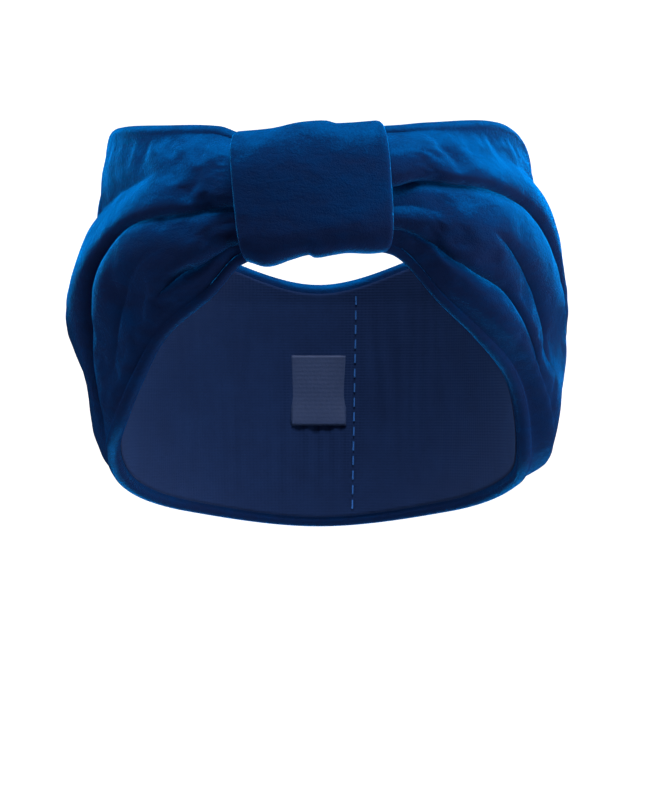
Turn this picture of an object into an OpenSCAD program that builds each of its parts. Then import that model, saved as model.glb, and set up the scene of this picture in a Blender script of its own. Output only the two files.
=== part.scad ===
// Knotted headband, worn shape: a wide two-layer velvet band that a separate loop pinches at the
// forehead, with an elasticated section at the nape. +Z is up, the wearer faces -Y, and the origin
// is the middle of the head opening.

/* [Head opening] */
// Inside breadth of the band, over the ears
opening_w = 150; // [140:1:160]
// Inside depth of the band, from forehead to nape
opening_d = 184; // [172:1:196]
// How far the lower back edge leans in towards the nape
nape_lean = 8; // [0:1:12]

/* [Band heights] */
// Top edge above the origin, at the forehead
front_top = 66; // [60:1:72]
// Lower edge above the origin, at the forehead
front_low = 19; // [14:1:24]
// Top edge above the origin at the temples, where it is highest
temple_top = 70; // [66:1:76]
// Top edge above the origin, over the ears
side_top = 56; // [50:1:62]
// Lower edge below the origin, over the ears
side_drop = 53; // [46:1:60]
// Top edge above the origin, at the nape
back_top = 14; // [6:1:22]
// Lower edge below the origin, at the nape
back_drop = 80; // [74:1:86]

/* [Folds] */
// How far the side folds stand out from the edges
side_puff = 13; // [6:1:15]
// How far the folds stand out beside the loop
front_puff = 10; // [4:1:12]
// How far the cloth stands out over the elastic
back_puff = 1.6; // [1:0.2:4]

/* [Cloth] */
// Thickness of the outer velvet with its pile
velvet_t = 2; // [1.5:0.1:2.5]
// Thickness of the lining
lining_t = 1.2; // [0.8:0.1:1.5]
// Thickness of the sewing thread
thread_t = 0.6; // [0.4:0.1:0.7]

/* [Loop] */
// Width of the loop across the forehead
loop_w = 55; // [45:1:65]
// Depth of the loop, from its face to the forehead
loop_depth = 22; // [18:1:24]
// Wall of the loop
loop_t = 3; // [2:0.5:4]
// How far the loop leans, its wearer's-right side lower
loop_tilt = 3; // [0:1:5]

/* [Elastic] */
// Width of the elastic
elastic_w = 40; // [25:1:50]
// Thickness of the elastic
elastic_t = 1.2; // [0.8:0.1:1.5]
// Angle from the front at which the elasticated section starts
elastic_start = 132; // [125:1:140]

/* [Label] */
// Width of the blank care label
label_w = 22; // [15:1:30]
// Length of the care label below its stitches
label_l = 28; // [20:1:36]
// Thickness of the care label
label_t = 0.5; // [0.4:0.1:0.8]

/* [Hidden] */

half_w = opening_w / 2;
half_d = opening_d / 2;
// Clear space between two pieces of cloth on one body, and across the stretching joint
gap = 0.3;
// Lining, seam gap and velvet, counted outwards from the head
seam_r = lining_t + 0.1;
velvet_in = seam_r + thread_t + 0.1;
edge_r = velvet_in + velvet_t;
// Facet counts of the cloth panels, along the band and across it
side_steps = 34;
cross_steps = 20;
back_steps = 36;
back_rows = 12;
lining_cols = 24;
lining_rows = 8;
// Share of the width by which the lining stops short of each edge
lining_edge = 0.01;
royal_blue = [0.0, 0.17, 0.45];
navy = [0.01, 0.07, 0.25];
thread_blue = [0.05, 0.2, 0.5];
elastic_white = [0.9, 0.9, 0.88];
label_navy = [0.03, 0.06, 0.16];

// Heights of the two edges, as [angle from the front, height]
TOP_EDGE = [[0, front_top - 1], [20, front_top - 0.5], [45, temple_top - 1], [60, temple_top],
            [75, temple_top - 3], [90, side_top], [122, side_top - 16], [150, back_top + 12],
            [180, back_top]];
LOW_EDGE = [[0, front_low + 1], [20, front_low - 1], [40, front_low - 22], [60, front_low - 46],
            [90, 1 - side_drop], [130, 7 - back_drop], [180, -back_drop]];
// How far the folds stand out round the band, as [angle from the front, distance]
PUFF = [[0, front_puff - 1], [20, front_puff], [50, (front_puff + side_puff) / 2 + 1],
        [90, side_puff], [elastic_start, 7], [155, back_puff + 1], [180, back_puff]];
// The shape of the folds across the band: top roll, soft notch, main fold, crease, lower fold
FOLDS = [[0, 0], [0.12, 0.3], [0.24, 0.14], [0.36, 0.7], [0.5, 1], [0.62, 0.85], [0.7, 0.35],
         [0.82, 0.55], [0.92, 0.4], [1, 0]];
crease_at = 0.7;
// Where the crease lies round the band, as [angle from the front, share of the width]
LEFT_CREASE = [[0, 0.58], [60, 0.6], [90, 0.76], [elastic_start, 0.78], [180, 0.7]];
RIGHT_CREASE = [[0, 0.68], [60, 0.66], [90, 0.74], [elastic_start, 0.76], [180, 0.7]];

function clamp(x, lo, hi) = min(max(x, lo), hi);
function ramp(a, b, x) = let (t = clamp((x - a) / (b - a), 0, 1)) t * t * (3 - 2 * t);
function span_of(p, x, i = 0) = i >= len(p) - 2 || x < p[i + 1][0] ? i : span_of(p, x, i + 1);
function slope_at(p, i) =
    i == 0 || i == len(p) - 1 ? 0 : (p[i + 1][1] - p[i - 1][1]) / (p[i + 1][0] - p[i - 1][0]);
// A smooth curve through the points p, level at both ends
function through(p, x) =
    let (i = span_of(p, x), w = p[i + 1][0] - p[i][0], t = (x - p[i][0]) / w)
    (1 + 2 * t) * pow(1 - t, 2) * p[i][1] + t * pow(1 - t, 2) * w * slope_at(p, i)
    + t * t * (3 - 2 * t) * p[i + 1][1] - t * t * (1 - t) * w * slope_at(p, i + 1);

function height_at(a, v) =
    let (hi = through(TOP_EDGE, a)) hi + v * (through(LOW_EDGE, a) - hi);
function puff_at(a, v, crease) =
    through(PUFF, a) * through(FOLDS, pow(v, ln(crease_at) / ln(through(crease, a))));
function lean_at(a, z) = nape_lean * ramp(95, 180, a) * clamp(-z / back_drop, -0.1, 1);
// The point at angle a from the front, share v down the width, distance r out from the head
function band_point(a, v, r) =
    let (z = height_at(a, v), out = r - lean_at(a, z))
    [(half_w + out) * sin(a), -(half_d + out) * cos(a), z];
// The angle at which a layer at distance r starts, clear of the leaning loop's side
loop_clear = gap + (front_top - front_low) / 2 * sin(loop_tilt);
function start_angle(r) = asin((loop_w / 2 + loop_clear) / (half_w + r));

// A closed sheet between two grids of points, each [column][row]
module sheet(out, inn) {
    cols = len(out);
    rows = len(out[0]);
    half = cols * rows;
    function at(i, j) = i * rows + j;
    function quad(a, b, c, d) = [[a, b, c], [a, c, d]];
    faces = concat(
        [for (i = [0 : cols - 2], j = [0 : rows - 2])
            each quad(at(i, j), at(i + 1, j), at(i + 1, j + 1), at(i, j + 1))],
        [for (i = [0 : cols - 2], j = [0 : rows - 2])
            each quad(half + at(i, j), half + at(i, j + 1), half + at(i + 1, j + 1),
                half + at(i + 1, j))],
        [for (i = [0 : cols - 2]) each concat(
            quad(at(i, 0), half + at(i, 0), half + at(i + 1, 0), at(i + 1, 0)),
            quad(at(i, rows - 1), at(i + 1, rows - 1), half + at(i + 1, rows - 1),
                half + at(i, rows - 1)))],
        [for (j = [0 : rows - 2]) each concat(
            quad(at(0, j), at(0, j + 1), half + at(0, j + 1), half + at(0, j)),
            quad(at(cols - 1, j), half + at(cols - 1, j), half + at(cols - 1, j + 1),
                at(cols - 1, j + 1)))]);
    polyhedron([for (c = out) each c, for (c = inn) each c], faces, convexity = 10);
}

// The velvet of one side, from the loop to the elastic, on +X
module side_velvet(crease) {
    function grid(r, t) = [for (i = [0 : side_steps]) [for (j = [0 : cross_steps])
        let (v = j / cross_steps, a0 = start_angle(r + front_puff * through(FOLDS, v)),
             a = a0 + i / side_steps * (elastic_start - a0))
        band_point(a, v, r + puff_at(a, v, crease) - t)]];
    sheet(grid(edge_r, 0), grid(edge_r, velvet_t));
}

// The lining of one side, on +X
module side_lining() {
    function grid(r) = [for (i = [0 : lining_cols]) [for (j = [0 : lining_rows])
        let (a0 = start_angle(0), a = a0 + i / lining_cols * (elastic_start - a0))
        band_point(a, lining_edge + j / lining_rows * (1 - 2 * lining_edge), r)]];
    sheet(grid(lining_t), grid(0));
}

module outer_left() { color(royal_blue) mirror([1, 0, 0]) side_velvet(LEFT_CREASE); }
module outer_right() { color(royal_blue) side_velvet(RIGHT_CREASE); }
module lining_left() { color(navy) mirror([1, 0, 0]) side_lining(); }
module lining_right() { color(navy) side_lining(); }

// The elasticated section, from one side round the nape to the other
// It starts this many degrees behind the sides, so that it can move
back_gap = 0.3;
back_from = elastic_start + back_gap;
function back_angle(t) = back_from + t * (360 - 2 * back_from);
// band_point beyond 180 degrees, mirrored from the other side
function round_point(a, v, r) =
    let (p = band_point(a <= 180 ? a : 360 - a, v, r)) [a <= 180 ? p[0] : -p[0], p[1], p[2]];

// The velvet keeps this much further out at the back, which makes the channel for the elastic
channel = elastic_t - thread_t + 0.2;

module outer_back() {
    function swell(t) = channel * ramp(0, 0.12, min(t, 1 - t));
    function grid(t) = [for (i = [0 : back_steps]) [for (j = [0 : back_rows])
        let (a = back_angle(i / back_steps), b = a <= 180 ? a : 360 - a, v = j / back_rows)
        round_point(a, v, edge_r - t + swell(i / back_steps) + puff_at(b, v, LEFT_CREASE))]];
    color(royal_blue) sheet(grid(0), grid(velvet_t));
}

module lining_back() {
    function grid(r) = [for (i = [0 : lining_cols]) [for (j = [0 : lining_rows])
        round_point(back_angle(i / lining_cols),
            lining_edge + j / lining_rows * (1 - 2 * lining_edge), r)]];
    color(navy) sheet(grid(lining_t), grid(0));
}

// Share of the back's width at which the elastic's edges lie
back_h = back_top + back_drop;
elastic_from = 0.5 - elastic_w / back_h / 2;
elastic_to = 0.5 + elastic_w / back_h / 2;
// The elastic ends this far inside the section, where its tacks are
elastic_end = 4;

module back_elastic() {
    elastic_cols = 30;
    elastic_rows = 4;
    first = back_from + elastic_end;
    function grid(r) = [for (i = [0 : elastic_cols]) [for (j = [0 : elastic_rows])
        round_point(first + i / elastic_cols * (360 - 2 * first),
            elastic_from + j / elastic_rows * (elastic_to - elastic_from), r)]];
    color(elastic_white) sheet(grid(lining_t + 0.1 + elastic_t), grid(lining_t + 0.1));
}

// One stitch: a short straight length of thread between two points
module stitch(p, q) {
    d = q - p;
    turn = atan2(d[1], d[0]);
    fall = acos(d[2] / norm(d));
    translate(p) rotate([0, fall, turn]) cylinder(d = thread_t, h = norm(d), $fn = 16);
}

// A row of stitches, one between each two points
module stitch_row(points) {
    for (i = [0 : 2 : len(points) - 2]) stitch(points[i], points[i + 1]);
}

// How far a stitch's middle stands off the cloth's face, so that it clears the facets
stitch_proud = thread_t / 2 + 0.15;

// Zigzag bar tacks that fix the two ends of the elastic, on the lining's face
module elastic_tacks() {
    tack_rows = 9;
    a = back_from + elastic_end + 2;
    function height(k) = elastic_from + k / tack_rows * (elastic_to - elastic_from);
    function ends(k, side) = [for (e = [0, 1])
        let (p = band_point(a + 1.2 * e, height(k + 0.6 * e + 0.2), -stitch_proud))
        [side * p[0], p[1], p[2]]];
    color(thread_blue) for (side = [1, -1], k = [0 : tack_rows - 1]) stitch_row(ends(k, side));
}

// Two rows of stitches, above and below the elastic, that make its channel
module channel_stitches() {
    row_stitches = 22;
    first = back_from + elastic_end + 5;
    pitch = (360 - 2 * first) / row_stitches;
    color(thread_blue) for (v = [elastic_from - 0.04, elastic_to + 0.04])
        stitch_row([for (k = [0 : row_stitches - 1], e = [0.25, 0.75])
            round_point(first + (k + e) * pitch, v, -stitch_proud)]);
}

// The seam that closes the band into a ring, up the middle of the lining at the nape
module back_seam() {
    seam_stitches = 15;
    seam_side = label_w / 2 + 4;
    a = 180 - asin(seam_side / half_w);
    pitch = 0.9 / seam_stitches;
    color(thread_blue) stitch_row([for (k = [0 : seam_stitches - 1], e = [0.2, 0.8])
        band_point(a, 0.05 + pitch * (k + e), -2 * stitch_proud - thread_t)]);
}

// A thread that runs inside an edge, between velvet and lining, at share v of the width
module edge_thread(v, from, to) {
    thread_cols = 40;
    function ring(a) = [
        band_point(a, v, seam_r), band_point(a, v, seam_r + thread_t),
        band_point(a, v, seam_r + thread_t) + [0, 0, thread_t],
        band_point(a, v, seam_r) + [0, 0, thread_t]];
    rings = [for (i = [0 : thread_cols]) ring(from + i / thread_cols * (to - from))];
    function at(i, k) = 4 * i + k % 4;
    polyhedron([for (r = rings) each r], concat(
        [[0, 3, 2], [0, 2, 1]],
        [for (i = [0 : thread_cols - 1], k = [0 : 3]) each [
            [at(i, k), at(i, k + 1), at(i + 1, k + 1)], [at(i, k), at(i + 1, k + 1), at(i + 1, k)]]],
        let (e = 4 * thread_cols) [[e, e + 1, e + 2], [e, e + 2, e + 3]]));
}

seam_from = start_angle(seam_r) + 1;
module both_edge_threads(v) {
    edge_thread(v, seam_from, elastic_start - 1);
    mirror([1, 0, 0]) edge_thread(v, seam_from, elastic_start - 1);
}
module top_edge_seam() { color(thread_blue) both_edge_threads(0.03); }
module lower_edge_seam() { color(thread_blue) both_edge_threads(0.97); }

// The loop and the pleats inside it are bent round this upright axis
bend_r = 80;
bend_y = bend_r - half_d;
loop_low = front_low - 0.5;
loop_top = front_top - 1;
loop_mid = (loop_low + loop_top) / 2;

// A rectangle with round corners as points, centred, for a ring's outline
function round_rect(w, h, r, n = 8) =
    [for (c = [[1, 1, 0], [-1, 1, 90], [-1, -1, 180], [1, -1, 270]], k = [0 : n])
        [c[0] * (w / 2 - r) + r * cos(c[2] + 90 * k / n),
         c[1] * (h / 2 - r) + r * sin(c[2] + 90 * k / n)]];

// Sweeps a [depth, height] outline round the forehead and trims it to a width
module on_forehead(width) {
    sweep = 50;
    intersection() {
        translate([0, bend_y, 0]) rotate([0, 0, -90 - sweep / 2])
            rotate_extrude(angle = sweep, $fn = 120) children();
        translate([0, -half_d, loop_mid]) cube([width, 4 * loop_depth, 4 * loop_depth], center = true);
    }
}

// Leans the loop and what it holds
module leant() {
    translate([0, 0, loop_mid]) rotate([0, -loop_tilt, 0]) translate([0, 0, -loop_mid]) children();
}

loop_h = loop_top - loop_low;
loop_r = bend_r - loop_t + loop_depth / 2;

module loop_outline(shrink, corner) {
    translate([loop_r, loop_mid])
        polygon(round_rect(loop_depth - 2 * shrink, loop_h - 2 * shrink, corner));
}

module knot_loop() {
    color(royal_blue) leant() on_forehead(loop_w) difference() {
        loop_outline(0, 8);
        loop_outline(loop_t, 5.5);
    }
}

// The band's middle, drawn up into pleats that the loop holds
module gathered_centre() {
    pleats = 5;
    clear = loop_t + gap;
    pleat_h = (loop_h - 2 * clear) / pleats;
    lap = 0.6;
    color(royal_blue) leant() difference() {
        on_forehead(loop_w - 2 * gap)
            for (k = [0 : pleats - 1])
                translate([loop_r, loop_low + clear + pleat_h * (k + 0.5)])
                    polygon(round_rect(loop_depth - 2 * clear - (k % 2 == 0 ? 2 : 0),
                        pleat_h + (k % 2 == 0 ? -lap : lap), 2.6));
        thread_ring(gap);
    }
}

// The thread wound round the pleats to draw them together
module thread_ring(grow) {
    thread_w = 3;
    inset = loop_t + 1;
    translate([-thread_w / 2 - grow, bend_y - loop_r, loop_mid]) rotate([90, 0, 90])
        linear_extrude(thread_w + 2 * grow) difference() {
            polygon(round_rect(loop_depth - 2 * inset + 4 * grow, loop_h - 2 * inset + 4 * grow, 4));
            polygon(round_rect(loop_depth - 2 * inset - 2 * thread_t - 2 * grow,
                loop_h - 2 * inset - 2 * thread_t - 2 * grow, 3.4 - grow));
        }
}
module gathering_thread() { color(thread_blue) leant() thread_ring(0); }

// A point on the loop's back face, against the forehead
function on_loop_back(x, z) =
    let (r = bend_r - loop_t - stitch_proud) [x, bend_y - sqrt(r * r - x * x), z];

// Slanted stitches that close the loop behind, along its width
module knot_loop_seam() {
    whip_stitches = 14;
    pitch = (loop_w - 8) / whip_stitches;
    color(thread_blue) leant() stitch_row([for (k = [0 : whip_stitches - 1], e = [-1, 1])
        on_loop_back(pitch * (k + 0.5 + 0.2 * e - whip_stitches / 2), loop_mid + 2 * e)]);
}

// Short tacks from the loop's back edges to the lining beside it
module knot_tacks() {
    tack_in = 4;
    tack_out = 2;
    tack_lift = [0, 0.8, 0];
    color(thread_blue) leant() for (side = [1, -1], z = [-12, -9, 9, 12])
        stitch(on_loop_back(side * (loop_w / 2 - tack_in), loop_mid + z),
            on_loop_back(side * (loop_w / 2 + tack_out), loop_mid + z) + tack_lift);
}

// The label hangs in front of the lining at the nape, and turns about its rolled top edge
label_top = back_top - 27;
// How far the rolled edge's axis stands off the lining, so that the label swings up past its stitches
label_off = 0.75;
// How far the stitches are above that axis
label_sewn = 2;
// How far back the lining's face lies at x and z, near the nape
function lining_y(x, z) = let (a = 180 - asin(abs(x) / half_w)) (half_d - lean_at(a, z)) * -cos(a);
label_y = lining_y(label_w / 2, label_top) - label_off;
label_fall = lining_y(label_w / 2, label_top) - lining_y(label_w / 2, label_top - label_l);
label_tilt = atan(label_fall / label_l);

module care_label() {
    color(label_navy) translate([-label_w / 2, label_y, label_top]) rotate([-label_tilt, 0, 0]) {
        translate([0, -label_t / 2, -label_l]) cube([label_w, label_t, label_l]);
        rotate([0, 90, 0]) cylinder(d = label_t, h = label_w, $fn = 24);
    }
}

// Stitches on the lining, just above the label's top edge
module label_stitches() {
    label_row = 7;
    pitch = label_w / label_row;
    z = label_top + label_sewn;
    color(thread_blue) stitch_row([for (k = [0 : label_row - 1], e = [0.15, 0.85])
        let (x = pitch * (k + e) - label_w / 2) [x, lining_y(x, z) - stitch_proud, z]]);
}

outer_left();
outer_right();
lining_left();
lining_right();
gathered_centre();
gathering_thread();
knot_loop();
knot_loop_seam();
knot_tacks();
top_edge_seam();
lower_edge_seam();
outer_back();
lining_back();
back_elastic();
elastic_tacks();
channel_stitches();
back_seam();
label_stitches();
care_label();
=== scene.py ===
"""A knotted velvet headband in its worn shape.

It is a wide two-layer band, pinched at the forehead by a flat loop and elasticated at the nape. Its outer
velvet is one ring of cloth: a head-shaped ring plus a puff, cut by fold lines that start under the loop and
fan out round the sides. Lengths are in millimetres until a mesh is made.
"""
import math

import bpy
import numpy as np
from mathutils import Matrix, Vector, noise


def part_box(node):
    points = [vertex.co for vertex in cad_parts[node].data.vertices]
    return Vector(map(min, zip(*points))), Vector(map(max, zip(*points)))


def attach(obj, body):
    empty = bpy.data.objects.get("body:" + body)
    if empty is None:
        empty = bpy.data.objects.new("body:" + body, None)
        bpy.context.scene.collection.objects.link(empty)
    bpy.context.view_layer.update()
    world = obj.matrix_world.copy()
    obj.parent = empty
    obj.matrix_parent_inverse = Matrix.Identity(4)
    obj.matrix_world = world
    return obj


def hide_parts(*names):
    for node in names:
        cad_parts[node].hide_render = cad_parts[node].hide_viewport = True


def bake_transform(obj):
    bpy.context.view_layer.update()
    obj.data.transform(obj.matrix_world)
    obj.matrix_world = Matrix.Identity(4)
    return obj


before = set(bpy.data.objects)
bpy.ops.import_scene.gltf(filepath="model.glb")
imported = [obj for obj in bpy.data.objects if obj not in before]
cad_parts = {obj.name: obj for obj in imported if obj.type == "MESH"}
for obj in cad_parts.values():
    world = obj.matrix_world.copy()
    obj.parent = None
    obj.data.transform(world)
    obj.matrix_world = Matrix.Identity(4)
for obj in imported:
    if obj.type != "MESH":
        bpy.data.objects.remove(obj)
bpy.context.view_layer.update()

MM = 0.001
SEED = 7


# ---------------------------------------------------------------- sizes from the frame

def box_mm(node):
    """A CAD node's lowest and highest corners, in millimetres."""
    return [np.array(corner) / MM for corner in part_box(node)]


LINING_T = 1.2        # the lining solid's thickness
NAPE_LEAN = 8.0       # how far the lower edge leans in at the nape
LEAN_OUT = 0.1        # and the share of that by which the top edge leans out
loop_lo, loop_hi = box_mm("knot_loop")
side_hi = box_mm("lining_right")[1]
back_lo = box_mm("outer_back")[0]
nape_hi = box_mm("lining_back")[1]
label_lo, label_hi = box_mm("care_label")
velvet_hi = box_mm("outer_right")[1]

HALF_W = side_hi[0] - LINING_T
HALF_D = nape_hi[1] - LINING_T - LEAN_OUT * NAPE_LEAN
BAND_LOW = back_lo[2]
BAND_H = velvet_hi[2] - BAND_LOW
EDGE_R = 4.1          # the velvet's outer face beyond the head line, at an edge
ROLL_R = 1.9          # radius of the rolled edges
# The cloth loop's own half-width and half-height. Its solid leans, and its box is so much larger each way
LOOP_SPARE_W, LOOP_SPARE_H = 1.2, 2.3
LOOP_HALF = (loop_hi[0] - loop_lo[0]) / 2 - LOOP_SPARE_W
LOOP_HALF_H = (loop_hi[2] - loop_lo[2]) / 2 - LOOP_SPARE_H


def height(share):
    """A height given as a share of the whole band's height."""
    return BAND_LOW + np.asarray(share) * BAND_H


# ---------------------------------------------------------------- curves

def ramp(a, b, x):
    """0 up to a, 1 from b on, and smooth between them."""
    t = np.clip((np.asarray(x, float) - a) / (b - a), 0, 1)
    return t * t * (3 - 2 * t)


def through(points, x):
    """A smooth curve through (x, y) points, level at and beyond both ends."""
    px, py = np.array(points, float).T
    x = np.clip(np.asarray(x, float), px[0], px[-1])
    slope = np.zeros(len(px))
    slope[1:-1] = (py[2:] - py[:-2]) / (px[2:] - px[:-2])
    i = np.clip(np.searchsorted(px, x, "right") - 1, 0, len(px) - 2)
    w = px[i + 1] - px[i]
    t = (x - px[i]) / w
    return ((1 + 2 * t) * (1 - t) ** 2 * py[i] + t * (1 - t) ** 2 * w * slope[i]
            + t * t * (3 - 2 * t) * py[i + 1] - t * t * (1 - t) * w * slope[i + 1])


def cloth_noise(points, scale, seed=0):
    """Smooth noise from -1 to 1 at each point, with features about scale millimetres apart."""
    offset = Vector((seed * 17.3, seed * 5.1, seed * 9.7))
    return np.array([noise.noise(Vector(p) / scale + offset) for p in points])


# ---------------------------------------------------------------- the band's shape

# What differs between the sides, RIGHT being the viewer's right. Each fold line has its path as
# (angle from the front, share of the width) and its depth as (angle, mm). The cloth above a fold
# line rolls over it within a few mm, and the cloth below comes out from under it more slowly
RIGHT = {
    "top": [(0, 0.96), (20, 0.97), (30, 0.98), (55, 0.995), (70, 0.97), (90, 0.89), (120, 0.8), (150, 0.7),
            (180, 0.63)],
    "low": [(0, 0.665), (20, 0.675), (35, 0.56), (50, 0.47), (65, 0.385), (75, 0.31), (90, 0.17),
            (110, 0.1), (135, 0.045), (180, 0)],
    "puff": [(0, 0), (0.05, 0.5), (0.15, 3), (0.25, 8), (0.35, 11), (0.55, 13.5), (0.75, 10.5), (0.95, 8),
             (1, 0)],
    "folds": [
        {"path": [(45, 0.18), (70, 0.14), (120, 0.15)],
         "depth": [(40, 0), (70, 2), (90, 2.5), (120, 2), (135, 0)], "above": 5, "below": 5, "lap": 0},
        {"path": [(17, 0.51), (25, 0.41), (35, 0.355), (45, 0.34), (60, 0.37), (75, 0.475), (90, 0.55),
                  (105, 0.6)],
         "depth": [(14, 6), (60, 5.5), (80, 5), (90, 4), (110, 1), (125, 0)],
         "above": 1.6, "below": 4.5, "lap": 2},
        {"path": [(17, 0.87), (30, 0.815), (40, 0.8), (50, 0.8), (60, 0.885), (70, 0.94), (80, 0.94)],
         "depth": [(14, 4), (30, 5.5), (50, 5.5), (70, 2.5), (90, 0)], "above": 1.2, "below": 3, "lap": 2.8},
        {"path": [(40, 0.56), (55, 0.655), (65, 0.745), (75, 0.86)],
         "depth": [(40, 0), (48, 2.5), (60, 4.5), (68, 4), (77, 0)], "above": 2, "below": 4, "lap": 1},
        {"path": [(17, 0.69), (25, 0.62), (34, 0.57)], "depth": [(14, 2), (24, 1), (34, 0)],
         "above": 2.4, "below": 4, "lap": 0},
    ],
}
LEFT = {
    "top": [(0, 0.945), (20, 0.95), (27, 0.97), (45, 0.98), (70, 0.99), (77, 0.98), (90, 0.9), (120, 0.8),
            (150, 0.7), (180, 0.63)],
    "low": [(0, 0.665), (20, 0.655), (30, 0.575), (47, 0.475), (60, 0.355), (72, 0.26), (90, 0.18),
            (110, 0.1), (135, 0.045), (180, 0)],
    "puff": [(0, 0), (0.1, 1.5), (0.25, 4.5), (0.35, 9), (0.5, 13.5), (0.6, 12.5), (0.75, 8.5), (0.95, 3),
             (1, 0)],
    "folds": [
        {"path": [(30, 0.2), (50, 0.24), (130, 0.26)],
         "depth": [(30, 0), (50, 1.5), (90, 4), (120, 3), (140, 0)], "above": 6, "below": 6, "lap": 0},
        {"path": [(17, 0.6), (30, 0.525), (42, 0.475), (54, 0.465), (65, 0.545), (72, 0.665), (80, 0.9),
                  (86, 0.97)],
         "depth": [(14, 5), (32, 5), (50, 6), (65, 7.5), (80, 6), (92, 0)],
         "above": 1.8, "below": 5, "lap": 2},
        {"path": [(17, 0.92), (25, 0.875), (35, 0.84), (47, 0.87)],
         "depth": [(14, 3), (24, 6), (36, 5.5), (48, 0)], "above": 1.3, "below": 3.4, "lap": 2},
        {"path": [(40, 0.66), (50, 0.7), (66, 0.9)],
         "depth": [(34, 0), (46, 1.5), (58, 2.5), (72, 0)], "above": 5, "below": 8, "lap": 0},
        {"path": [(17, 0.76), (25, 0.705), (42, 0.66)], "depth": [(14, 2), (24, 1), (38, 0)],
         "above": 2.5, "below": 4, "lap": 0},
    ],
}
# The puff beside the loop and at the nape, across the width
LOOP_PUFF = [(0, 0), (0.12, 7), (0.3, 10), (0.7, 10), (0.88, 7), (1, 0)]
NAPE_PUFF = [(0, 0), (0.15, 1.8), (0.3, 1.6), (0.5, 2.0), (0.7, 1.6), (0.85, 1.8), (1, 0)]


def side_value(a, key, at=None):
    """A side's curve at the angle from the front, or at another value. Past 180 degrees is the left side."""
    at = np.minimum(a, 360 - a) if at is None else at
    return np.where(a <= 180, through(RIGHT[key], at), through(LEFT[key], at))


CREASE_R = 0.45         # how round the bottom of a crease is, in mm
SLOPE_STEP = 0.5        # degrees either way over which a fold line's slope is taken
LAP_FULL = 8            # a fold so many mm deep laps by its full "lap"
LAP_AT, LAP_WIDTH = 3, 5        # mm below a fold line where the lap is greatest, and how far it spreads


def fold_depth(a, v, drop, side):
    """How far the fold lines of one side cut in, and how far the cloth below them laps upwards."""
    cut = np.zeros(np.broadcast(a, v).shape)
    lap = np.zeros(cut.shape)
    for fold in side["folds"]:
        depth = through(fold["depth"], a)
        line = through(fold["path"], a)
        run = HALF_W * math.radians(2 * SLOPE_STEP)
        rise = (through(fold["path"], a + SLOPE_STEP) - through(fold["path"], a - SLOPE_STEP)) * drop
        away = (v - line) * drop / np.sqrt(1 + (rise / run) ** 2)
        width = np.where(away < 0, fold["above"], fold["below"])
        cut += depth * np.exp(-(np.sqrt(away ** 2 + CREASE_R ** 2) - CREASE_R) / width)
        lap += fold["lap"] * depth / LAP_FULL * np.exp(-((away - LAP_AT) / LAP_WIDTH) ** 2)
    return cut, lap


def band_surface(a, v):
    """The velvet's outer face: a is 0 to 360 from the front over the right side, v is 0 to 1 down."""
    away = np.minimum(a, 360 - a)
    hi = height(side_value(a, "top")) - ROLL_R
    lo = height(side_value(a, "low")) + ROLL_R
    drop = hi - lo
    beside_loop = 1 - ramp(18, 55, away)
    at_nape = ramp(100, 150, away)
    side = (1 - beside_loop) * (1 - at_nape)
    puff = (beside_loop * through(LOOP_PUFF, v) + at_nape * through(NAPE_PUFF, v)
            + side * side_value(a, "puff", v))
    cut_r, lap_r = fold_depth(away, v, drop, RIGHT)
    cut_l, lap_l = fold_depth(away, v, drop, LEFT)
    edges = np.sin(np.pi * np.clip(v, 0, 1)) ** 0.35
    cut = np.where(a <= 180, cut_r, cut_l) * edges
    lap = np.where(a <= 180, lap_r, lap_l) * edges
    z = hi - v * drop + lap
    r = EDGE_R + puff - cut + ruching(a, v, PUCKER_DEPTH)
    return ring_point(a, r, z)


PUCKER, PUCKER_DEPTH = 7.5, 1.5         # mm from one pucker to the next, and how deep they are
ELASTIC_FROM = 132.0                    # degrees from the front where the elastic starts


def ruching(a, v, depth):
    """The puckers, mostly upright, that the elastic draws up at the nape."""
    a, v = np.broadcast_arrays(a, v)
    away = np.minimum(a, 360 - a)
    where = ramp(ELASTIC_FROM - 6, ELASTIC_FROM + 8, away) * np.exp(-((v - 0.5) / 0.36) ** 4)
    seeds = np.stack([a / 14, v * 2.2, 0 * v], -1).reshape(-1, 3)
    wander = cloth_noise(seeds, 1, SEED + 8).reshape(a.shape)
    size = 0.7 + 0.5 * cloth_noise(seeds * [2.5, 0.5, 1], 1, SEED + 9).reshape(a.shape)
    turns = np.radians(a) * (HALF_W + HALF_D) / 2 / PUCKER
    return depth * where * size * (np.abs(np.sin(math.pi * turns + 2.2 * wander)) - 0.6)


def lean(away, z):
    """How far the band leans in towards the nape at each height: all of it at the lower edge."""
    return NAPE_LEAN * ramp(95, 180, away) * np.clip(z / BAND_LOW, -LEAN_OUT, 1)


def ring_point(a, r, z):
    """A point at angle a, r mm outside the head line, at height z."""
    away = np.minimum(a, 360 - a)
    out = r - lean(away, z)
    angle = np.radians(a)
    x, y, z = np.broadcast_arrays((HALF_W + out) * np.sin(angle), -(HALF_D + out) * np.cos(angle), z)
    return np.stack([x, y, z], -1)


# ---------------------------------------------------------------- meshes

def grid_mesh(name, grid, around=False, across=False):
    """A mesh over a grid of points (columns, rows, 3), closed round its columns or rows if asked."""
    cols, rows = grid.shape[:2]
    faces = []
    for i in range(cols if around else cols - 1):
        for j in range(rows if across else rows - 1):
            i2, j2 = (i + 1) % cols, (j + 1) % rows
            faces.append((i * rows + j, i2 * rows + j, i2 * rows + j2, i * rows + j2))
    mesh = bpy.data.meshes.new(name)
    mesh.from_pydata((grid.reshape(-1, 3) * MM).tolist(), [], faces)
    mesh.update()
    obj = bpy.data.objects.new(name, mesh)
    bpy.context.scene.collection.objects.link(obj)
    mesh.polygons.foreach_set("use_smooth", np.ones(len(faces), bool))
    return obj


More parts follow.
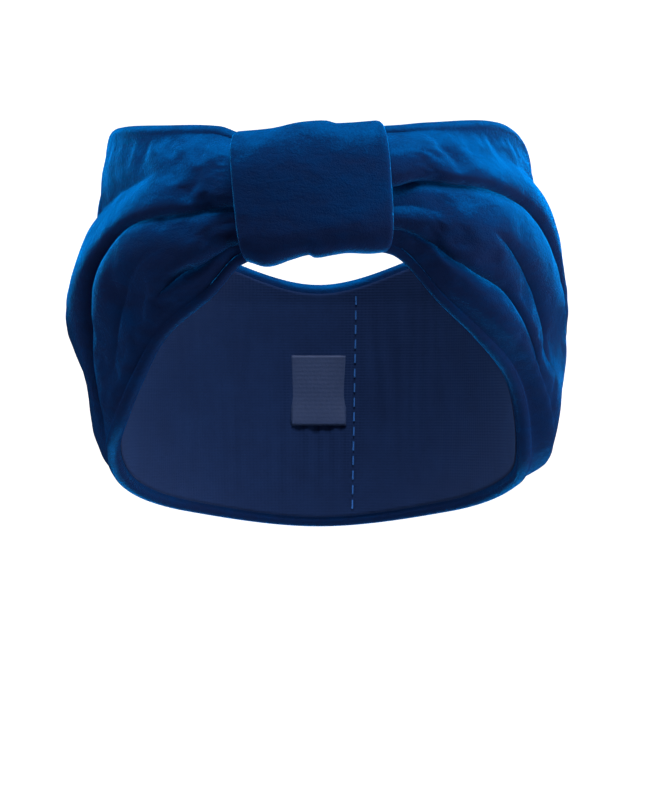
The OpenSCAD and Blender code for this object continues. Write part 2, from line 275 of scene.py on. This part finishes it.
def apply_modifiers(obj):
    """Puts what the modifiers make into the mesh itself."""
    made = bpy.data.meshes.new_from_object(
        obj.evaluated_get(bpy.context.evaluated_depsgraph_get()))
    obj.modifiers.clear()
    obj.data = made
    return obj


def thicken(obj, thickness):
    """Gives a sheet its thickness, inwards from the face it has."""
    solid = obj.modifiers.new("thickness", "SOLIDIFY")
    solid.thickness = thickness * MM
    solid.offset = -1
    return apply_modifiers(obj)


# ---------------------------------------------------------------- materials

def new_material(name, base, roughness, sheen=0.0, sheen_tint=(1, 1, 1), sheen_roughness=0.3):
    """A material with its even values set, as (material, node tree, shader)."""
    mat = bpy.data.materials.new(name)
    mat.use_nodes = True
    shader = mat.node_tree.nodes["Principled BSDF"]
    shader.inputs["Base Color"].default_value = (*base, 1)
    shader.inputs["Roughness"].default_value = roughness
    shader.inputs["Sheen Weight"].default_value = sheen
    shader.inputs["Sheen Tint"].default_value = (*sheen_tint, 1)
    shader.inputs["Sheen Roughness"].default_value = sheen_roughness
    return mat, mat.node_tree, shader


def add_node(tree, kind, inputs=None, **settings):
    """A new node with its settings and its inputs' values."""
    node = tree.nodes.new(kind)
    for key, value in settings.items():
        setattr(node, key, value)
    for key, value in (inputs or {}).items():
        node.inputs[key].default_value = value
    return node


def velvet(name, dark, mid, light, sheen_tint):
    """Velvet: brushed nap patches and blotches in the colour, painted light and shade by which way the cloth
    faces, a fine pile in the bump, a strong sheen.
    """
    mat, tree, shader = new_material(name, mid, 0.95, 1.0, sheen_tint, 0.24)
    shader.inputs["Specular IOR Level"].default_value = 0.0
    link = tree.links.new
    coords = add_node(tree, "ShaderNodeTexCoord")
    brushed = add_node(tree, "ShaderNodeMapping", {"Scale": (1.0, 1.0, 2.4)})
    link(coords.outputs["Object"], brushed.inputs["Vector"])
    patches = add_node(tree, "ShaderNodeTexNoise", {"Scale": 34.0, "Detail": 3.0, "Roughness": 0.55,
                                                    "Distortion": 0.8})
    blotches = add_node(tree, "ShaderNodeTexNoise", {"Scale": 150.0, "Detail": 4.0, "Roughness": 0.6,
                                                     "Distortion": 0.5})
    pile = add_node(tree, "ShaderNodeTexNoise", {"Scale": 1400.0, "Detail": 3.0, "Roughness": 0.75})
    for texture in (patches, blotches):
        link(brushed.outputs["Vector"], texture.inputs["Vector"])
    link(coords.outputs["Object"], pile.inputs["Vector"])
    blotched = add_node(tree, "ShaderNodeMath", {1: 0.55}, operation="MULTIPLY_ADD")
    piled = add_node(tree, "ShaderNodeMath", {1: 0.9}, operation="MULTIPLY_ADD")
    link(blotches.outputs["Fac"], blotched.inputs[0])
    link(patches.outputs["Fac"], blotched.inputs[2])
    link(pile.outputs["Fac"], piled.inputs[0])
    link(blotched.outputs["Value"], piled.inputs[2])
    colours = add_node(tree, "ShaderNodeValToRGB")
    ends = colours.color_ramp.elements
    ends[0].position, ends[0].color = 0.42, (*dark, 1)
    ends[1].position, ends[1].color = 1.0, (*light, 1)
    # painted light and shade: the colour is lighter where the cloth faces up towards the lights above, and
    # darker where it faces down
    facing = add_node(tree, "ShaderNodeNewGeometry")
    parts = add_node(tree, "ShaderNodeSeparateXYZ")
    painted_toplight = add_node(tree, "ShaderNodeMapRange", {1: -0.2, 2: 0.5, 3: -0.08, 4: 0.29})
    scaled = add_node(tree, "ShaderNodeMath", {1: 0.45}, operation="MULTIPLY_ADD")
    link(facing.outputs["Normal"], parts.inputs["Vector"])
    link(parts.outputs["Z"], painted_toplight.inputs["Value"])
    link(piled.outputs["Value"], scaled.inputs[0])
    link(painted_toplight.outputs["Result"], scaled.inputs[2])
    link(scaled.outputs["Value"], colours.inputs["Fac"])
    ends.new(0.70).color = (*mid, 1)
    link(colours.outputs["Color"], shader.inputs["Base Color"])
    rubbed = add_node(tree, "ShaderNodeBump", {"Strength": 0.4, "Distance": 0.0009})
    tufted = add_node(tree, "ShaderNodeBump", {"Strength": 0.75, "Distance": 0.00035})
    link(blotches.outputs["Fac"], rubbed.inputs["Height"])
    link(pile.outputs["Fac"], tufted.inputs["Height"])
    link(rubbed.outputs["Normal"], tufted.inputs["Normal"])
    link(tufted.outputs["Normal"], shader.inputs["Normal"])
    return mat


WALE, COURSE = 1.3, 1.1     # mm from one wale of the knit to the next, and from course to course


def lining_knit(name, dark, light, sheen_tint):
    """A matt knit: fine upright wales and level courses, a little uneven."""
    mat, tree, shader = new_material(name, light, 0.9, 0.15, sheen_tint, 0.5)
    shader.inputs["Specular IOR Level"].default_value = 0.05
    link = tree.links.new
    coords = add_node(tree, "ShaderNodeTexCoord")
    parts = add_node(tree, "ShaderNodeSeparateXYZ")
    angle = add_node(tree, "ShaderNodeMath", operation="ARCTAN2")
    wale = add_node(tree, "ShaderNodeMath", {1: 2 * math.pi * HALF_W / WALE}, operation="MULTIPLY")
    course = add_node(tree, "ShaderNodeMath", {1: 2 * math.pi / (COURSE * MM)}, operation="MULTIPLY")
    waves = [add_node(tree, "ShaderNodeMath", operation="SINE") for _ in range(2)]
    knit = add_node(tree, "ShaderNodeMath", operation="ADD")
    uneven = add_node(tree, "ShaderNodeTexNoise", {"Scale": 70.0, "Detail": 5.0, "Roughness": 0.65})
    colours = add_node(tree, "ShaderNodeMix", {"A": (*dark, 1), "B": (*light, 1)}, data_type="RGBA")
    bump = add_node(tree, "ShaderNodeBump", {"Strength": 0.15, "Distance": 0.0003})
    link(coords.outputs["Object"], parts.inputs["Vector"])
    link(coords.outputs["Object"], uneven.inputs["Vector"])
    link(parts.outputs["X"], angle.inputs[0])
    link(parts.outputs["Y"], angle.inputs[1])
    link(angle.outputs["Value"], wale.inputs[0])
    link(parts.outputs["Z"], course.inputs[0])
    for scaled, wave in zip((wale, course), waves):
        link(scaled.outputs["Value"], wave.inputs[0])
    link(waves[0].outputs["Value"], knit.inputs[0])
    link(waves[1].outputs["Value"], knit.inputs[1])
    link(uneven.outputs["Fac"], colours.inputs["Factor"])
    link(colours.outputs["Result"], shader.inputs["Base Color"])
    link(knit.outputs["Value"], bump.inputs["Height"])
    link(bump.outputs["Normal"], shader.inputs["Normal"])
    return mat


def twisted(name, dark, light, turn, roughness, across="X"):
    """Yarn or tape: a fine slanting twist in the colour and in the bump, turn metres apart."""
    mat, tree, shader = new_material(name, light, roughness, 0.3, light, 0.4)
    shader.inputs["Specular IOR Level"].default_value = 0.08
    link = tree.links.new
    coords = add_node(tree, "ShaderNodeTexCoord")
    lines = add_node(tree, "ShaderNodeTexWave", {"Scale": 0.3 / turn, "Distortion": 0.8, "Detail": 2.0},
                     bands_direction=across)
    fuzz = add_node(tree, "ShaderNodeTexNoise", {"Scale": 900.0, "Detail": 3.0})
    both = add_node(tree, "ShaderNodeMath", {1: 0.6}, operation="MULTIPLY_ADD")
    colours = add_node(tree, "ShaderNodeMix", {"A": (*dark, 1), "B": (*light, 1)}, data_type="RGBA")
    bump = add_node(tree, "ShaderNodeBump", {"Strength": 0.35, "Distance": 0.0002})
    for texture in (lines, fuzz):
        link(coords.outputs["Object"], texture.inputs["Vector"])
    link(lines.outputs["Fac"], both.inputs[0])
    link(fuzz.outputs["Fac"], both.inputs[2])
    link(both.outputs["Value"], colours.inputs["Factor"])
    link(colours.outputs["Result"], shader.inputs["Base Color"])
    link(both.outputs["Value"], bump.inputs["Height"])
    link(bump.outputs["Normal"], shader.inputs["Normal"])
    return mat


def dress(obj, mat):
    """Gives every slot of an object one material."""
    if not obj.data.materials:
        obj.data.materials.append(mat)
    for i in range(len(obj.data.materials)):
        obj.data.materials[i] = mat


VELVET = velvet("velvet_royal", (0.0026, 0.0062, 0.025), (0.0009, 0.0098, 0.042),
                (0.0, 0.035, 0.128), (0.0, 0.21, 0.66))
LINING = lining_knit("lining_knit", (0.001, 0.004, 0.018), (0.002, 0.008, 0.032), (0.01, 0.05, 0.18))
THREAD = twisted("thread_blue", (0.004, 0.022, 0.085), (0.01, 0.05, 0.17), 0.0006, 0.6)
ELASTIC = twisted("elastic_woven", (0.45, 0.45, 0.43), (0.80, 0.80, 0.77), 0.0012, 0.8, "Z")
LABEL = twisted("label_satin", (0.004, 0.008, 0.024), (0.008, 0.016, 0.045), 0.0005, 0.6, "Z")


# ---------------------------------------------------------------- outer velvet

AROUND, ACROSS, ROLL_STEPS, HEM_STEPS = 760, 170, 8, 5      # how many points each way
VELVET_T = 0.9                          # thickness of the velvet and of the lining, in mm
HEM, HEM_SINK = 8.0, 1.1                # mm that the hem runs inside, and sinks under the lining
# Where the loop starts and has finished drawing the band in, in degrees, to the right and to the left
GATHER_RIGHT, GATHER_LEFT = (17.0, 11.5), (20.0, 14.5)
LOOP_HOLDS = 5.5                        # mm that the pleats stay inside the loop's top and foot
PLEATS, PLEAT_DEPTH = 4.5, 1.6          # pleats inside the loop, and how deep they are


def rolled_edge(edge_points, inward, side):
    """Rows that roll an edge over to the inside, and a hem that runs down under the lining."""
    rows = []
    for k in range(1, ROLL_STEPS + 1):
        t = math.pi * k / ROLL_STEPS
        rows.append(edge_points + inward * (ROLL_R * (1 - math.cos(t)))
                    + np.array([0, 0, side * ROLL_R * math.sin(t)]))
    inside = rows[-1]
    for k in range(1, HEM_STEPS + 1):
        t = k / HEM_STEPS
        rows.append(inside + np.array([0, 0, -side * HEM * t]) - inward * (HEM_SINK * ramp(0.3, 1, t)))
    return rows


TRIAL_COLS, TRIAL_ROWS = 4, 5       # the simulated cloth has one point for so many columns and rows
SPARE_CLOTH, TRIAL_FRAMES = 0.014, 14   # share by which the cloth is too large, and how long it settles
LEAST_HELD, HOLD_LEVELS = 0.04, 25      # how firmly the free cloth is held, and in how many grades
MOST_MOVED = 1.4                    # mm that a point may move


def settle(points, held):
    """How far each point moves, in mm, when the cloth between its held places has some to spare."""
    trial = grid_mesh("cloth_trial", points, around=True)
    group = trial.vertex_groups.new(name="held")
    flat_held = held.reshape(-1)
    for level in np.unique(flat_held):
        group.add(np.nonzero(flat_held == level)[0].tolist(), float(level), "REPLACE")
    cloth = trial.modifiers.new("cloth", "CLOTH")
    rules = cloth.settings
    rules.quality = 8
    rules.mass = 0.02
    rules.tension_stiffness = rules.compression_stiffness = 12
    rules.shear_stiffness = 6
    rules.bending_stiffness = 2.0
    rules.shrink_min = -SPARE_CLOTH
    rules.vertex_group_mass = "held"
    rules.effector_weights.gravity = 0
    cloth.collision_settings.use_collision = False
    cloth.point_cache.frame_end = TRIAL_FRAMES
    for frame_number in range(1, TRIAL_FRAMES + 1):
        bpy.context.scene.frame_set(frame_number)
    shape = trial.evaluated_get(bpy.context.evaluated_depsgraph_get()).to_mesh()
    ends = np.empty(len(shape.vertices) * 3)
    shape.vertices.foreach_get("co", ends)
    trial_mesh = trial.data
    bpy.data.objects.remove(trial)
    bpy.data.meshes.remove(trial_mesh)
    bpy.context.scene.frame_set(1)
    moved = ends.reshape(points.shape) / MM - points
    size = np.linalg.norm(moved, axis=-1, keepdims=True)
    return moved * (np.tanh(size / MOST_MOVED) * MOST_MOVED / np.maximum(size, 1e-9))


def finer(coarse, cols, rows):
    """A coarse grid of vectors spread over a finer one, smoothly."""
    at = np.arange(cols) / cols * coarse.shape[0]
    i = np.floor(at).astype(int)
    t = (at - i)[:, None, None]
    wide = coarse[i % coarse.shape[0]] * (1 - t) + coarse[(i + 1) % coarse.shape[0]] * t
    at = np.linspace(0, coarse.shape[1] - 1, rows)
    j = np.minimum(np.floor(at).astype(int), coarse.shape[1] - 2)
    t = (at - j)[None, :, None]
    fine = wide[:, j] * (1 - t) + wide[:, j + 1] * t
    for _ in range(3):
        fine = (np.roll(fine, 1, 0) + 2 * fine + np.roll(fine, -1, 0)) / 4
        fine[:, 1:-1] = (fine[:, :-2] + 2 * fine[:, 1:-1] + fine[:, 2:]) / 4
    return fine


def settled(points, a, v):
    """The cloth after its simulation, held along both edges, under the loop and over the elastic."""
    coarse = points[::TRIAL_COLS, ::TRIAL_ROWS]
    away = np.minimum(a, 360 - a)[::TRIAL_COLS]
    v = v[:, ::TRIAL_ROWS]
    hold = np.maximum.reduce([1 - ramp(0, 0.1, np.minimum(v, 1 - v)) + 0 * away,
                              1 - ramp(19, 27, away) + 0 * v, ramp(125, 150, away) + 0 * v])
    hold = np.round(np.maximum(hold, LEAST_HELD) * HOLD_LEVELS) / HOLD_LEVELS
    moved = settle(coarse, hold)
    edges = ramp(0, 0.08, np.minimum(v, 1 - v))[..., None]
    return points + finer(moved * edges, *points.shape[:2])


def outer_grid():
    """The velvet: its face, settled, with both edges rolled in and its front gathered."""
    a = np.linspace(0, 360, AROUND, endpoint=False)[:, None]
    v = np.linspace(0, 1, ACROSS + 1)[None, :]
    points = band_surface(a, v)
    angle = np.radians(a[:, 0])
    inward = np.stack([-np.sin(angle), np.cos(angle), 0 * angle], -1)
    flat = points.reshape(-1, 3)
    soft = 0.9 * cloth_noise(flat, 26, SEED) + 0.35 * cloth_noise(flat, 9, SEED + 1)
    points = points + inward[:, None, :] * (soft.reshape(points.shape[:2]) * np.sin(
        np.pi * v) ** 0.5)[..., None]
    points = settled(points, a, v)
    top = rolled_edge(points[:, 0], inward, 1)
    low = rolled_edge(points[:, -1], inward, -1)
    grid = np.concatenate([np.stack(top[::-1], 1), points, np.stack(low, 1)], 1)
    return gather(grid, a[:, 0])


def gather(grid, a):
    """Draws the band in under the loop, into pleats that fill it."""
    away = np.minimum(a, 360 - a)
    w = np.where(a <= 180, 1 - ramp(GATHER_RIGHT[1], GATHER_RIGHT[0], away),
                 1 - ramp(GATHER_LEFT[1], GATHER_LEFT[0], away))[:, None]
    mid, half = (loop_lo[2] + loop_hi[2]) / 2, (loop_hi[2] - loop_lo[2]) / 2
    z = grid[..., 2]
    share = (z - mid) / half
    squeezed = mid + share * (half - LOOP_HOLDS)
    grid[..., 2] = z * (1 - w) + squeezed * w
    pleat = PLEAT_DEPTH * np.cos(share * math.pi * PLEATS) * w
    angle = np.radians(a)[:, None]
    grid[..., 0] += pleat * np.sin(angle)
    grid[..., 1] -= pleat * np.cos(angle)
    return grid


outer = grid_mesh("outer_velvet", outer_grid(), around=True)
thicken(outer, VELVET_T)
dress(outer, VELVET)


# ---------------------------------------------------------------- lining

LINING_EDGE = 0.03      # share of the width by which the lining stops short of each edge
LINING_R, LINING_RISE = -0.31, 0.36     # mm from the head line, and the most that a pucker may add


def lining_grid():
    """The lining: the band's ring on the inside, with shallower puckers at the nape."""
    a = np.linspace(0, 360, 480, endpoint=False)[:, None]
    v = np.linspace(LINING_EDGE, 1 - LINING_EDGE, 80)[None, :]
    hi = height(side_value(a, "top"))
    lo = height(side_value(a, "low"))
    puckers = ruching(a, v, 0.9)
    return ring_point(a, LINING_R + np.minimum(puckers, LINING_RISE), hi - v * (hi - lo))


lining = grid_mesh("lining_cloth", lining_grid(), around=True)
lining.data.flip_normals()
thicken(lining, VELVET_T)
dress(lining, LINING)


# ---------------------------------------------------------------- the loop

LOOP_DEPTH, LOOP_WALL = 22.0, 2.6       # mm from the loop's front to its back, and through its flat tube
BEND_R = 80.0                           # radius of the forehead's bend
BEHIND_LINE = 3.0                       # mm that the loop's back lies behind the head line
LOOP_TILT, LOOP_SHIFT = math.radians(4.5), -2.0     # its top leans to the viewer's left
LOOP_LIFT = 0.4         # mm that the cloth loop sits above the middle of its solid
# How square the wound loop is: rounder over its top than under its foot
LOOP_TOP_POWER, LOOP_LOW_POWER = 2 / 2.6, 2 / 3.6

# How far the cloth's edges rise over its top and under its foot, from the viewer's left to right, in mm
LOOP_TOP = [(-1, 0.3), (-0.5, 0.3), (-0.1, 1.6), (0.25, 1.5), (0.4, 0.3), (1, 0.3)]
LOOP_LOW = [(-1, 0.3), (-0.75, -1.6), (-0.4, 0.2), (-0.12, 1.4), (-0.03, 0.2), (0.2, 0.6), (0.45, 1.0),
            (0.8, 0.2), (1, 0.3)]


def loop_grid():
    """The loop as a flat tube of velvet wound once round the pleats."""
    mid = (loop_lo[2] + loop_hi[2]) / 2 + LOOP_LIFT
    psi = np.linspace(0, 2 * math.pi, 200, endpoint=False)[:, None]
    face = np.linspace(-1, 1, 45)
    edge = np.linspace(0, math.pi, 8)[1:-1]
    rim = LOOP_WALL / 2
    flat = LOOP_HALF - rim
    # across the flat tube: outer face, right fold, inner face, left fold, as (x, depth inwards)
    section = np.array([(x * flat, 0.0) for x in face]
                       + [(flat + rim * math.sin(t), rim * (1 - math.cos(t))) for t in edge]
                       + [(x * flat, LOOP_WALL) for x in face[::-1]]
                       + [(-flat - rim * math.sin(t), rim * (1 + math.cos(t))) for t in edge])
    x, inwards = section[:, 0][None, :], section[:, 1][None, :]
    cos, sin = np.cos(psi), np.sin(psi)
    power = np.where(sin > 0, LOOP_TOP_POWER, LOOP_LOW_POWER)
    depth = np.sign(cos) * np.abs(cos) ** power * (LOOP_DEPTH / 2 - inwards)
    tall = np.sign(sin) * np.abs(sin) ** power * (LOOP_HALF_H - inwards)
    share = x / LOOP_HALF
    uneven = np.where(tall > 0, through(LOOP_TOP, share), through(LOOP_LOW, share))
    tall = tall + uneven * np.abs(sin) ** 1.5
    taper = 1.03 - 0.025 * (1 - sin)
    radius = BEND_R - BEHIND_LINE + LOOP_DEPTH / 2 + depth
    turn = x * taper / (BEND_R - BEHIND_LINE + LOOP_DEPTH)
    px = radius * np.sin(turn)
    py = BEND_R - HALF_D - radius * np.cos(turn)
    pz = mid + tall + 0 * turn
    points = np.stack(np.broadcast_arrays(px, py, pz), -1)
    flat_points = points.reshape(-1, 3)
    soft = 0.5 * cloth_noise(flat_points, 18, SEED + 4) + 0.2 * cloth_noise(flat_points, 6, SEED + 5)
    points[..., 1] -= soft.reshape(points.shape[:2])
    dx, dz = points[..., 0].copy(), points[..., 2] - mid
    points[..., 0] = LOOP_SHIFT + dx * math.cos(LOOP_TILT) - dz * math.sin(LOOP_TILT)
    points[..., 2] = mid + dz * math.cos(LOOP_TILT) + dx * math.sin(LOOP_TILT)
    return points


loop = grid_mesh("knot_velvet", loop_grid(), around=True, across=True)
thicken(loop, VELVET_T)
dress(loop, VELVET)


# ---------------------------------------------------------------- label and stitches

LABEL_T = 0.35          # thickness of the tape
LABEL_CURL = 1.0        # mm that its foot curls off the lining


def label_grid():
    """The label's tape: a rolled top edge, then a blank face that curls a little at its foot."""
    width = label_hi[0] - label_lo[0]
    length = label_hi[2] - label_lo[2]
    u = np.linspace(-1, 1, 25)[:, None]
    t = np.linspace(0, 1, 31)[None, :]
    back = label_hi[1] - LABEL_T + t * (label_lo[1] - label_hi[1] + 0.6)
    curl = (-LABEL_CURL * ramp(0.55, 1, t) * (0.4 + 0.6 * u ** 2)
            - 0.25 * np.cos(u * 2.2) * ramp(0, 0.5, t))
    x, y, z = np.broadcast_arrays(u * (width / 2 - 0.15 * t ** 2), back + curl,
                                  label_hi[2] - 0.2 - t * (length - 0.4))
    return np.stack([x, y, z], -1)


label = grid_mesh("label_tape", label_grid())
thicken(label, LABEL_T)
dress(label, LABEL)


def stitch_tubes(name, pairs, radius, bow):
    """Short threads between pairs of points in mm, each bowed by a vector, joined in one mesh."""
    sides, rings = 8, 7
    points, faces = [], []
    for start, end in pairs:
        start, end = np.array(start), np.array(end)
        along = (end - start) / np.linalg.norm(end - start)
        first = np.cross(along, bow)
        first /= np.linalg.norm(first)
        second = np.cross(along, first)
        base = len(points)
        for k in range(rings):
            t = k / (rings - 1)
            middle = start + (end - start) * t + bow * math.sin(math.pi * t)
            r = radius * (0.45 + 0.55 * math.sin(math.pi * t) ** 0.4)
            for i in range(sides):
                turn = 2 * math.pi * i / sides
                points.append(middle + r * (first * math.cos(turn) + second * math.sin(turn)))
        for k in range(rings - 1):
            for i in range(sides):
                j = (i + 1) % sides
                faces.append((base + k * sides + i, base + k * sides + j,
                              base + (k + 1) * sides + j, base + (k + 1) * sides + i))
        faces.append(tuple(base + i for i in reversed(range(sides))))
        faces.append(tuple(base + (rings - 1) * sides + i for i in range(sides)))
    mesh = bpy.data.meshes.new(name)
    mesh.from_pydata((np.array(points) * MM).tolist(), [], faces)
    mesh.polygons.foreach_set("use_smooth", np.ones(len(faces), bool))
    obj = bpy.data.objects.new(name, mesh)
    bpy.context.scene.collection.objects.link(obj)
    dress(obj, THREAD)
    return obj


SLIP_FROM, SLIP_TO, SLIP_PITCH = 24.0, 336.0, 2.6   # first, last and from one to the next, in degrees
SLIP_R = 0.24                                       # the thread's radius, in mm


def edge_stitches(name, at):
    """Slip stitches between the lining's edge and the turned-in velvet, where at is 0 above and 1 below."""
    pairs = []
    for a in np.arange(SLIP_FROM, SLIP_TO, SLIP_PITCH):
        hi, lo = (float(height(side_value(np.array(a), key))) for key in ("top", "low"))
        edge = hi - (LINING_EDGE + at * (1 - 2 * LINING_EDGE)) * (hi - lo)
        way = 1 - 2 * at
        pairs.append((ring_point(np.array(a), -0.5, edge - way * 1.2),
                      ring_point(np.array(a + 0.9), 0.15, edge + way * 0.9)))
    return stitch_tubes(name, pairs, SLIP_R, np.array([0.0, 0.0, 0.05]))


top_stitches = edge_stitches("top_edge_stitches", 0)
low_stitches = edge_stitches("lower_edge_stitches", 1)


# ---------------------------------------------------------------- the flat pieces of cloth

SEAM = 10.0         # allowance at each cut edge of the band, in mm


def way_along(points):
    """The length of a run of points, in mm."""
    return float(np.linalg.norm(np.diff(points, axis=0), axis=1).sum())


def outer_cut():
    """The velvet is a plain rectangle, which the loop and the elastic gather in.

    It is the way across it over the ears by the way round its middle, with its turned edges and seams.
    """
    round_it = way_along(band_surface(np.linspace(0, 360, 721), 0.5))
    across = way_along(band_surface(90.0, np.linspace(0, 1, 201)))
    return across + 2 * (math.pi * ROLL_R + SEAM), round_it + 2 * SEAM


def lining_cut():
    """The lining is cut to the band's own outline, so that it lies smooth: its box, and its area."""
    a = np.linspace(0, 360, 721)
    tall = height(side_value(a, "top")) - height(side_value(a, "low")) + 2 * SEAM
    line = ring_point(a, 0.0, 0.0)
    step = np.linalg.norm(np.diff(line, axis=0), axis=1)
    area = float(((tall[1:] + tall[:-1]) / 2 * step).sum()) + 2 * SEAM * float(tall[len(a) // 2])
    return (float(tall.max()), float(step.sum()) + 2 * SEAM), area


# ---------------------------------------------------------------- which piece goes where

for piece in (outer, lining, top_stitches, low_stitches):
    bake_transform(piece)
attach(loop, "front_band")
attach(label, "label")
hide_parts("outer_left", "outer_right", "outer_back", "gathered_centre")
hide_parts("lining_left", "lining_right", "lining_back")
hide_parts("knot_loop")
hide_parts("care_label")
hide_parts("top_edge_seam")
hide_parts("lower_edge_seam")
for node in ("gathering_thread", "knot_loop_seam", "knot_tacks", "elastic_tacks", "channel_stitches",
             "back_seam", "label_stitches"):
    dress(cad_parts[node], THREAD)
dress(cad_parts["back_elastic"], ELASTIC)

outer_size = [side * MM for side in outer_cut()]
lining_box, lining_mm2 = lining_cut()


# ---------------------------------------------------------------- studio

def stage_bowl():
    """A pale floor whose far edge curves up into a wall all round."""
    floor_z, floor_r, curve_r, wall_h = -0.26, 3.2, 1.2, 1.6
    profile = [(0.0, 0.0), (floor_r, 0.0)]
    profile += [(floor_r + curve_r * math.sin(t), curve_r * (1 - math.cos(t)))
                for t in np.linspace(0, math.pi / 2, 16)[1:]]
    profile.append((floor_r + curve_r, curve_r + wall_h))
    turns = 96
    points, faces = [], []
    for i in range(turns):
        c, s = math.cos(2 * math.pi * i / turns), math.sin(2 * math.pi * i / turns)
        points += [(r * c, r * s, floor_z + z) for r, z in profile]
    n = len(profile)
    for i in range(turns):
        for j in range(n - 1):
            a, b = i * n, (i + 1) % turns * n
            faces.append((a + j, b + j, b + j + 1, a + j + 1))
    mesh = bpy.data.meshes.new("studio_floor")
    mesh.from_pydata(points, [], faces)
    mesh.polygons.foreach_set("use_smooth", np.ones(len(faces), bool))
    obj = bpy.data.objects.new("studio_floor", mesh)
    bpy.context.scene.collection.objects.link(obj)
    mat, _, shader = new_material("studio_white", (0.92, 0.92, 0.92), 0.9)
    shader.inputs["Emission Color"].default_value = (1, 1, 1, 1)
    shader.inputs["Emission Strength"].default_value = 0.85
    obj.data.materials.append(mat)
    obj.visible_diffuse = False
    obj.visible_glossy = False
    obj.visible_shadow = False


def area_light(name, place, size, watts):
    """A soft light that faces the object."""
    data = bpy.data.lights.new(name, "AREA")
    data.shape = "RECTANGLE"
    data.size, data.size_y = size
    data.energy = watts
    obj = bpy.data.objects.new(name, data)
    obj.location = place
    obj.rotation_euler = (-Vector(place)).to_track_quat("-Z", "Y").to_euler()
    bpy.context.scene.collection.objects.link(obj)


def studio_world():
    """Light from all round, strongest from above and from behind the object, weak from the front."""
    world = bpy.data.worlds.new("studio")
    world.use_nodes = True
    tree = world.node_tree
    coords = add_node(tree, "ShaderNodeTexCoord")
    parts = add_node(tree, "ShaderNodeSeparateXYZ")
    behind = add_node(tree, "ShaderNodeMapRange", {1: -0.3, 2: 0.7, 3: FRONT_LIGHT, 4: BACK_LIGHT},
                      interpolation_type="SMOOTHSTEP")
    above = add_node(tree, "ShaderNodeMapRange", {1: 0.1, 2: 0.9, 3: 0.0, 4: TOP_LIGHT},
                     interpolation_type="SMOOTHSTEP")
    total = add_node(tree, "ShaderNodeMath", operation="ADD")
    tree.links.new(coords.outputs["Generated"], parts.inputs["Vector"])
    tree.links.new(parts.outputs["Y"], behind.inputs["Value"])
    tree.links.new(parts.outputs["Z"], above.inputs["Value"])
    tree.links.new(behind.outputs["Result"], total.inputs[0])
    tree.links.new(above.outputs["Result"], total.inputs[1])
    tree.links.new(total.outputs["Value"], tree.nodes["Background"].inputs["Strength"])
    bpy.context.scene.world = world


FRONT_LIGHT, BACK_LIGHT, TOP_LIGHT = 0.16, 2.05, 0.8
stage_bowl()
studio_world()
area_light("key_above", (0.0, -0.6, 1.4), (0.8, 0.5), 88)
area_light("side_left", (-1.5, -0.3, -0.6), (0.6, 1.0), 28)
area_light("side_right", (1.5, -0.1, -0.3), (0.8, 1.2), 32)
area_light("fill_low", (1.2, -0.6, -0.9), (1.0, 0.6), 40)
area_light("rim_left", (-1.2, 0.45, -0.35), (0.5, 1.0), 20)
area_light("rim_right", (1.3, 0.55, -0.1), (0.5, 1.8), 44)
bpy.context.scene.view_settings.view_transform = "Standard"

CAMERA_AWAY, CAMERA_X, CAMERA_Z, LENS = 1.5, 0.0015, -0.032, 178
camera_data = bpy.data.cameras.new("camera")
camera_data.lens = LENS
camera_data.sensor_width = 36
camera = bpy.data.objects.new("camera", camera_data)
camera.location = (CAMERA_X, -CAMERA_AWAY, CAMERA_Z)
camera.rotation_euler = (math.radians(90), 0, 0)
bpy.context.scene.collection.objects.link(camera)
bpy.context.scene.camera = camera
